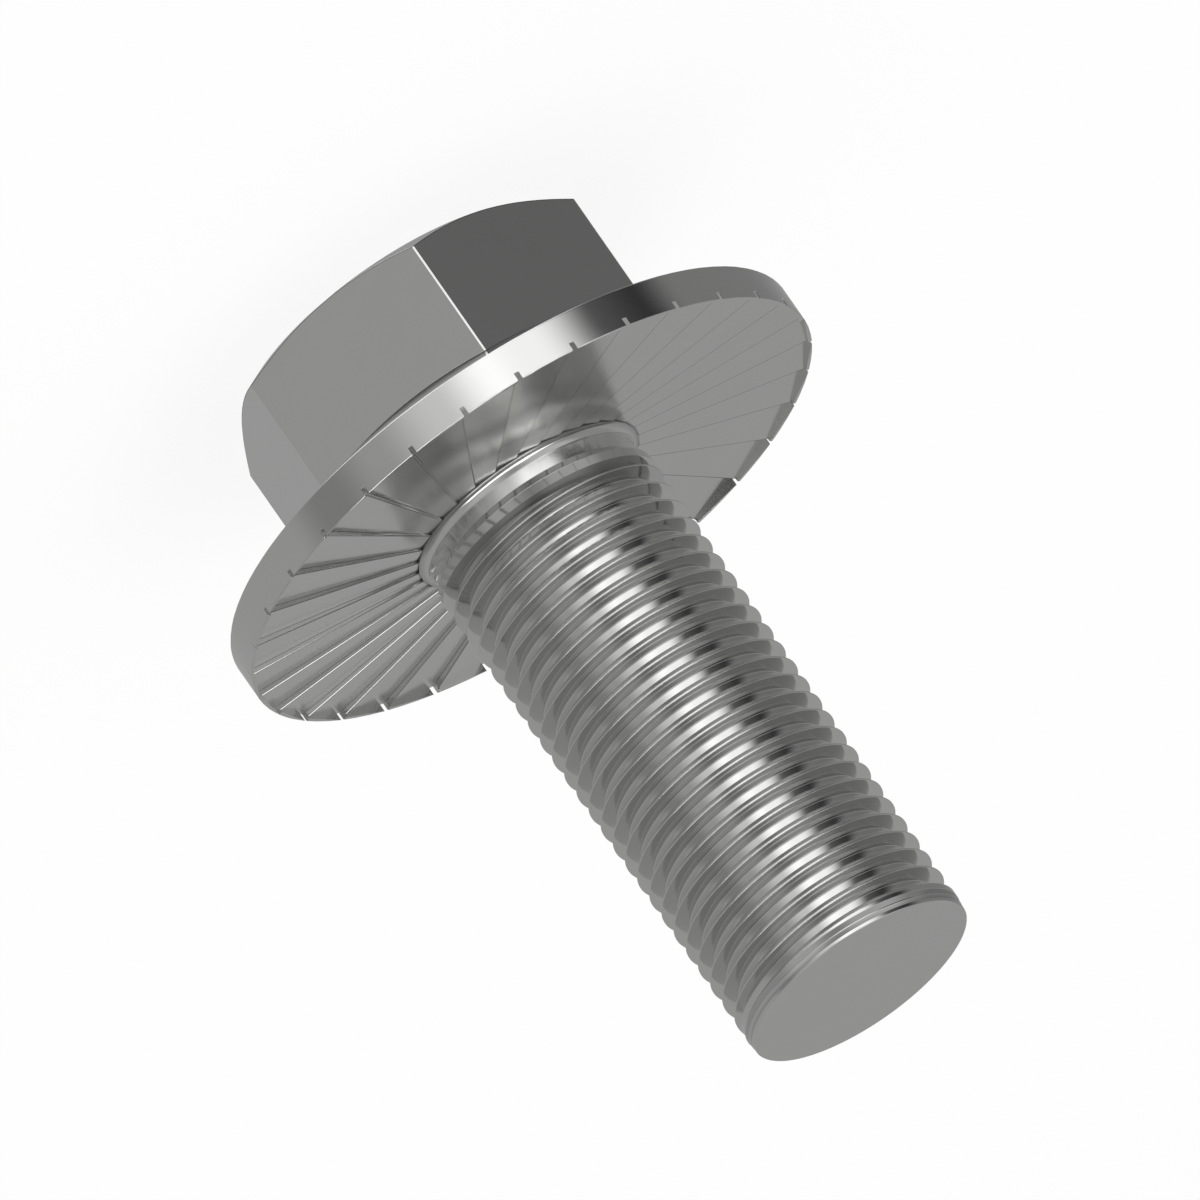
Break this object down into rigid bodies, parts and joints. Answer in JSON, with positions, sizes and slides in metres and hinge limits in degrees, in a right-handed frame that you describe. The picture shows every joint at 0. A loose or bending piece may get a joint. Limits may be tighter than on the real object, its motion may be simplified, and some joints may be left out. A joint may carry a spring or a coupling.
{
  "type": "serrated flange hex head cap screw",
  "caption": "Cap screw with a chamfered hex head, a wide cone-topped flange with ratchet teeth underneath, and a short fully threaded shank.",
  "frame": {"origin": "middle of the head's flat top, on which the screw stands", "axes": "+Z along the screw axis from the head to the tip; +X through a corner of the hex"},
  "size_m": [0.0412, 0.0412, 0.0531],
  "materials": {
    "steel": "plain bright, smooth"
  },
  "bodies": {
    "root": {"cap_screw": "steel"}
  },
  "joints": []
}
